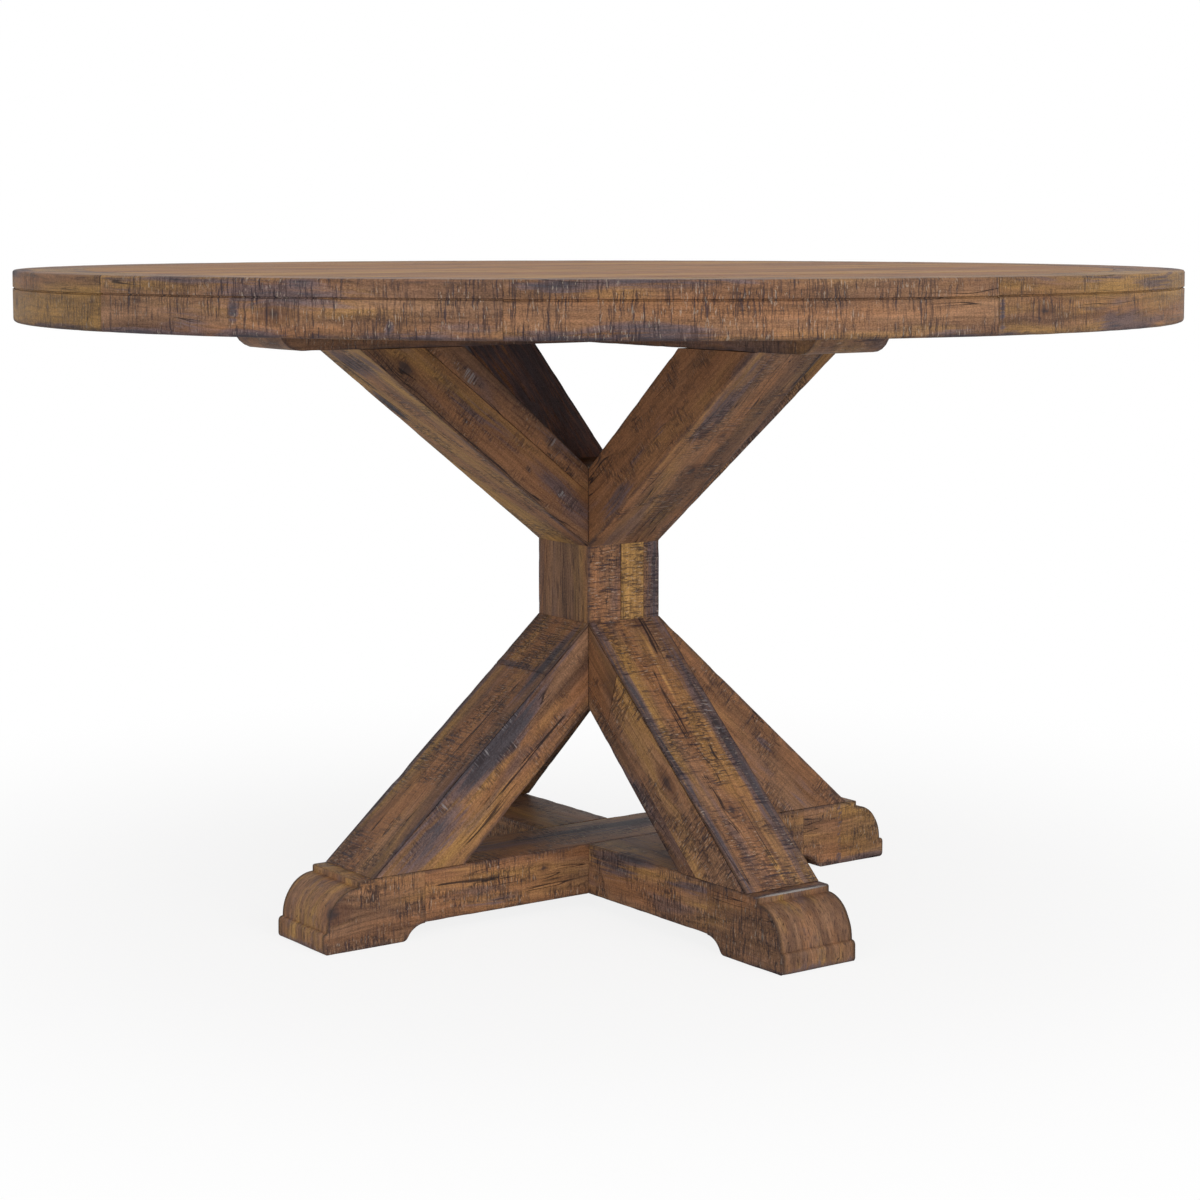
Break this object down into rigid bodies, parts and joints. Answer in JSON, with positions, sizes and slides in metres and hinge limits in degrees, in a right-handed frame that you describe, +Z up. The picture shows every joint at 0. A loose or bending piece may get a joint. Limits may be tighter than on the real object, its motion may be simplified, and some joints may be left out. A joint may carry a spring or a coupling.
{
  "type": "round pedestal dining table",
  "caption": "Rustic round wooden dining table: plank top in a segmented rim, carried by a square post with slanted arms and legs on crossed moulded floor beams with levelling glides.",
  "frame": {"origin": "on the floor, on the axis of the post and the top", "axes": "+Z up; X and Y along the two floor beams; -Y is the front, the foot nearest the picture's right of centre"},
  "size_m": [1.3715, 1.3714, 0.762],
  "materials": {
    "rim_wood": "stained, saw-marked, satin wax",
    "top_wood": "stained, planed, satin wax",
    "cleat_wood": "stained, sawn, matt",
    "base_wood": "stained, saw-marked, satin wax",
    "zinc_steel": "zinc plated",
    "insert_brass": "plain",
    "glide_nylon": "moulded, matt"
  },
  "bodies": {
    "table": {"rim_segment_1": "rim_wood", "rim_segment_2": "rim_wood", "rim_segment_3": "rim_wood", "rim_segment_4": "rim_wood", "rim_segment_5": "rim_wood", "rim_segment_6": "rim_wood", "rim_segment_7": "rim_wood", "rim_segment_8": "rim_wood", "rim_segment_9": "rim_wood", "top_plank_1": "top_wood", "top_plank_2": "top_wood", "top_plank_3": "top_wood", "top_plank_4": "top_wood", "top_plank_5": "top_wood", "top_plank_6": "top_wood", "top_plank_7": "top_wood", "top_plank_8": "top_wood", "top_plank_9": "top_wood", "cleat_along": "cleat_wood", "cleat_across": "cleat_wood", "post": "base_wood", "arm_right": "base_wood", "arm_back": "base_wood", "arm_left": "base_wood", "arm_front": "base_wood", "leg_right": "base_wood", "leg_back": "base_wood", "leg_left": "base_wood", "leg_front": "base_wood", "floor_beam_along": "base_wood", "floor_beam_across": "base_wood", "top_bolt_1": "zinc_steel", "top_bolt_2": "zinc_steel", "top_bolt_3": "zinc_steel", "top_bolt_4": "zinc_steel", "top_bolt_5": "zinc_steel", "top_bolt_6": "zinc_steel", "top_bolt_7": "zinc_steel", "top_bolt_8": "zinc_steel", "top_insert_1": "insert_brass", "top_insert_2": "insert_brass", "top_insert_3": "insert_brass", "top_insert_4": "insert_brass", "top_insert_5": "insert_brass", "top_insert_6": "insert_brass", "top_insert_7": "insert_brass", "top_insert_8": "insert_brass", "glide_insert_right": "insert_brass", "glide_insert_back": "insert_brass", "glide_insert_left": "insert_brass", "glide_insert_front": "insert_brass"},
    "right_glide": {"glide_right": "glide_nylon"},
    "back_glide": {"glide_back": "glide_nylon"},
    "left_glide": {"glide_left": "glide_nylon"},
    "front_glide": {"glide_front": "glide_nylon"}
  },
  "joints": [
    {"name": "right_glide_level", "type": "slide", "parent": "table", "child": "right_glide", "axis": [0, 0, -1], "range_m": [0, 0.01]},
    {"name": "back_glide_level", "type": "slide", "parent": "table", "child": "back_glide", "axis": [0, 0, -1], "range_m": [0, 0.01]},
    {"name": "left_glide_level", "type": "slide", "parent": "table", "child": "left_glide", "axis": [0, 0, -1], "range_m": [0, 0.01]},
    {"name": "front_glide_level", "type": "slide", "parent": "table", "child": "front_glide", "axis": [0, 0, -1], "range_m": [0, 0.01]}
  ]
}
